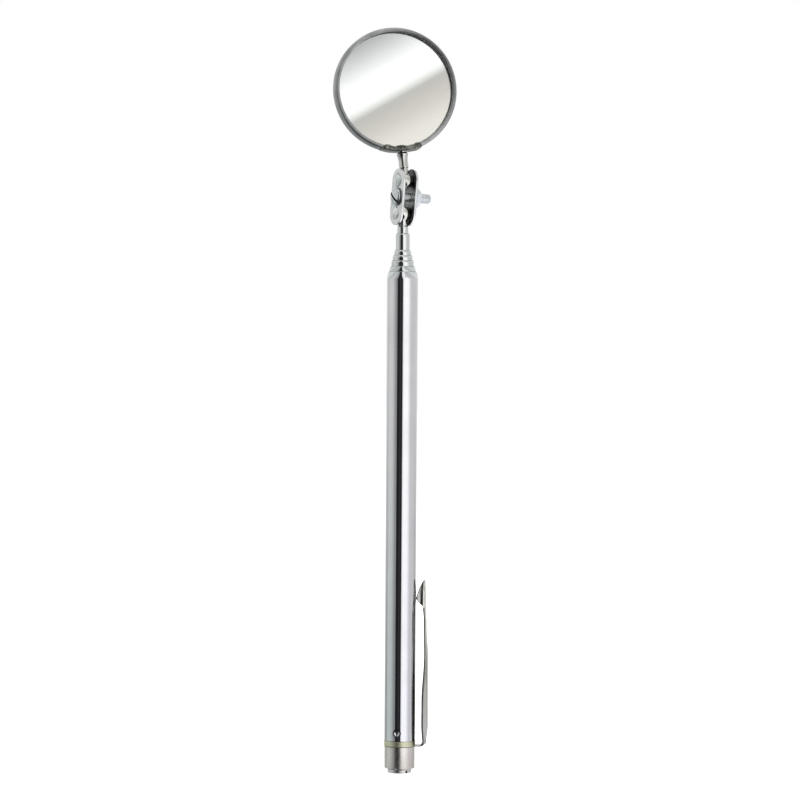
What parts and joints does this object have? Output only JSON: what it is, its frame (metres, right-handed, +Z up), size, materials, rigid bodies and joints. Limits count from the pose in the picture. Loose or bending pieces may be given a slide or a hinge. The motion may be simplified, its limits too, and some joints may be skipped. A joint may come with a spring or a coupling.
{
  "type": "telescoping inspection mirror",
  "caption": "Round framed mirror on a double ball joint, on a rod that telescopes out of a slim pocket barrel with a clip.",
  "frame": {"origin": "centre of the flat face of the end screw, on the barrel's axis", "axes": "+Z up the barrel towards the mirror, +X towards the pocket clip, -Y towards the front of the mirror"},
  "size_m": [0.0316, 0.0115, 0.1906],
  "materials": {
    "chrome_barrel": "polished chrome plate, fine handling scratches",
    "chrome_tube": "polished chrome plate",
    "brass_band": "turned brass, a little dull",
    "nickel_cap": "turned, warm satin nickel",
    "end_steel": "satin steel",
    "clip_sheet": "nickel-plated spring sheet",
    "bronze_sleeve": "phosphor bronze strip",
    "ball_steel": "polished hard steel",
    "plate_steel": "bright zinc-plated stamped steel",
    "zinc_screw": "zinc-plated steel",
    "stem_steel": "polished steel",
    "frame_steel": "drawn and polished steel",
    "saddle_steel": "crimped steel strip",
    "glass": "clear float glass",
    "silver": "silvered back surface",
    "pad": "dark fibre board"
  },
  "bodies": {
    "handle": {"barrel": "chrome_barrel", "end_plug": "brass_band", "end_cap": "nickel_cap", "end_screw": "end_steel", "pocket_clip": "clip_sheet"},
    "tube_1_body": {"tube_1": "chrome_tube", "sleeve_1": "bronze_sleeve"},
    "tube_2_body": {"tube_2": "chrome_tube", "sleeve_2": "bronze_sleeve"},
    "tube_3_body": {"tube_3": "chrome_tube", "sleeve_3": "bronze_sleeve"},
    "tube_4_body": {"tube_4": "chrome_tube", "sleeve_4": "bronze_sleeve"},
    "tube_5_body": {"tube_5": "chrome_tube", "sleeve_5": "bronze_sleeve"},
    "rod_slider": {"sleeve_6": "bronze_sleeve"},
    "rod_body": {"rod": "chrome_tube", "rod_ball": "ball_steel"},
    "clamp": {"clamp_plate_left": "plate_steel", "clamp_plate_right": "plate_steel", "clamp_screw": "zinc_screw", "lock_washer": "zinc_screw"},
    "nut_body": {"clamp_nut": "zinc_screw"},
    "mirror_pivot": {"mirror_ball": "ball_steel"},
    "mirror_head": {"mirror_stem": "stem_steel", "stem_saddle": "saddle_steel", "mirror_frame": "frame_steel", "mirror_glass": "glass", "mirror_silvering": "silver", "backing_pad": "pad"}
  },
  "joints": [
    {"name": "tube_1_slide", "type": "slide", "parent": "handle", "child": "tube_1_body", "axis": [0, 0, 1], "range_m": [0, 0.10408]},
    {"name": "tube_2_slide", "type": "slide", "parent": "tube_1_body", "child": "tube_2_body", "axis": [0, 0, 1], "range_m": [0, 0.10587]},
    {"name": "tube_3_slide", "type": "slide", "parent": "tube_2_body", "child": "tube_3_body", "axis": [0, 0, 1], "range_m": [0, 0.10792]},
    {"name": "tube_4_slide", "type": "slide", "parent": "tube_3_body", "child": "tube_4_body", "axis": [0, 0, 1], "range_m": [0, 0.1092]},
    {"name": "tube_5_slide", "type": "slide", "parent": "tube_4_body", "child": "tube_5_body", "axis": [0, 0, 1], "range_m": [0, 0.1105]},
    {"name": "rod_slide", "type": "slide", "parent": "tube_5_body", "child": "rod_slider", "axis": [0, 0, 1], "range_m": [0, 0.11485]},
    {"name": "rod_spin", "type": "hinge", "parent": "rod_slider", "child": "rod_body", "pos_m": [0, 0, 0.02], "axis": [0, 0, 1], "continuous": true},
    {"name": "clamp_swing", "type": "hinge", "parent": "rod_body", "child": "clamp", "pos_m": [0, 0, 0.1432], "axis": [0.8808, 0.4695, -0.0616], "range_deg": [-55, 55]},
    {"name": "nut_turn", "type": "hinge", "parent": "clamp", "child": "nut_body", "pos_m": [0.00029, 0, 0.14734], "axis": [0.8808, 0.4695, -0.0616], "range_deg": [0, 180]},
    {"name": "mirror_swing", "type": "hinge", "parent": "clamp", "child": "mirror_pivot", "pos_m": [0.00058, 0, 0.15148], "axis": [0.8808, 0.4695, -0.0616], "range_deg": [-75, 95]},
    {"name": "mirror_spin", "type": "hinge", "parent": "mirror_pivot", "child": "mirror_head", "pos_m": [0.00058, 0, 0.15148], "axis": [-0.1179, 0.0941, 0.9886], "continuous": true}
  ]
}
